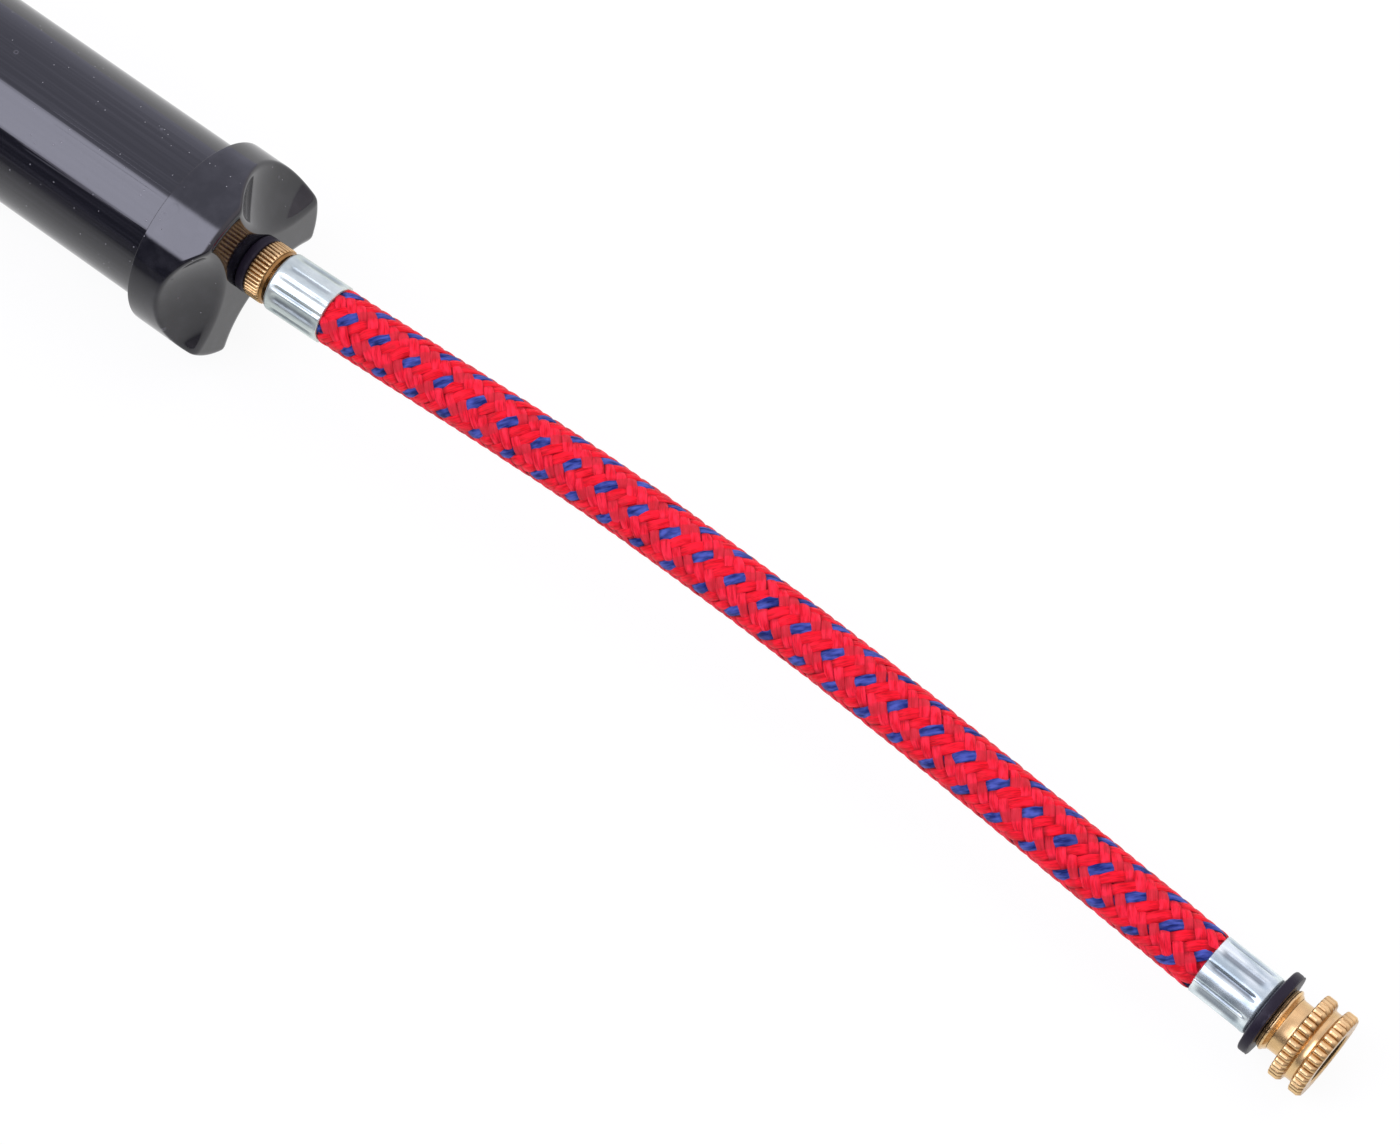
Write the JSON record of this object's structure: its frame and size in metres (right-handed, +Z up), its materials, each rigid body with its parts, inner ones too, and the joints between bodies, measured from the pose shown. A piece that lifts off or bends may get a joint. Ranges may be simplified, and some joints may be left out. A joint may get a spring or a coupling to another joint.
{
  "type": "hand pump",
  "caption": "Slim hand pump for tyres: a plunger barrel with a scooped screw-on outlet cap and a flexible braided hose ending in a knurled swivel nut for the valve.",
  "frame": {"origin": "on the floor plane, under the middle of the pump body without its hose", "axes": "+X along the pump's axis from the handle towards the hose, +Z up with the pump lying on its two caps"},
  "size_m": [0.5052, 0.029, 0.029],
  "materials": {
    "barrel_plastic": "glossy black, lightly scratched",
    "cap_plastic": "glossy black moulding",
    "rubber": "matte black rubber",
    "brass": "turned and knurled brass",
    "zinc_plate": "bright zinc-plated steel",
    "steel": "drawn steel",
    "braid": "red textile braid with blue flecks",
    "nylon": "natural nylon",
    "leather": "greased leather",
    "felt": "oiled felt"
  },
  "bodies": {
    "barrel": {"barrel": "barrel_plastic", "outlet_cap": "cap_plastic", "cap_gasket": "rubber", "guide_cap": "cap_plastic", "guide_bush": "nylon", "rod_wiper": "felt", "stop_ring": "rubber", "hose_stem": "brass", "hose_tail": "brass", "stem_washer": "rubber", "pump_ferrule": "zinc_plate", "hose_liner": "rubber", "hose_braid": "braid", "valve_ferrule": "zinc_plate", "valve_washer": "rubber", "nipple_collar": "brass", "valve_nipple": "brass"},
    "plunger": {"piston_rod": "steel", "rod_collar": "steel", "piston_guide": "nylon", "cup_washer": "leather", "cup_retainer": "steel", "rod_nuts": "steel", "thrust_washer": "steel", "bumper_ring": "rubber", "end_washer": "steel"},
    "handle": {"handle_grip": "barrel_plastic", "handle_end_cap": "cap_plastic"},
    "valve_nut": {"valve_nut": "brass", "valve_seal": "rubber"}
  },
  "joints": [
    {"name": "piston_slide", "type": "slide", "parent": "barrel", "child": "plunger", "axis": [-1, 0, 0], "range_m": [0, 0.2]},
    {"name": "grip_spin", "type": "hinge", "parent": "plunger", "child": "handle", "pos_m": [-0.126, 0, 0.0145], "axis": [1, 0, 0], "continuous": true},
    {"name": "nut_spin", "type": "hinge", "parent": "barrel", "child": "valve_nut", "pos_m": [0.34279, -0.00029, 0.00653], "axis": [0.9914, -0.0052, -0.1305], "continuous": true}
  ]
}
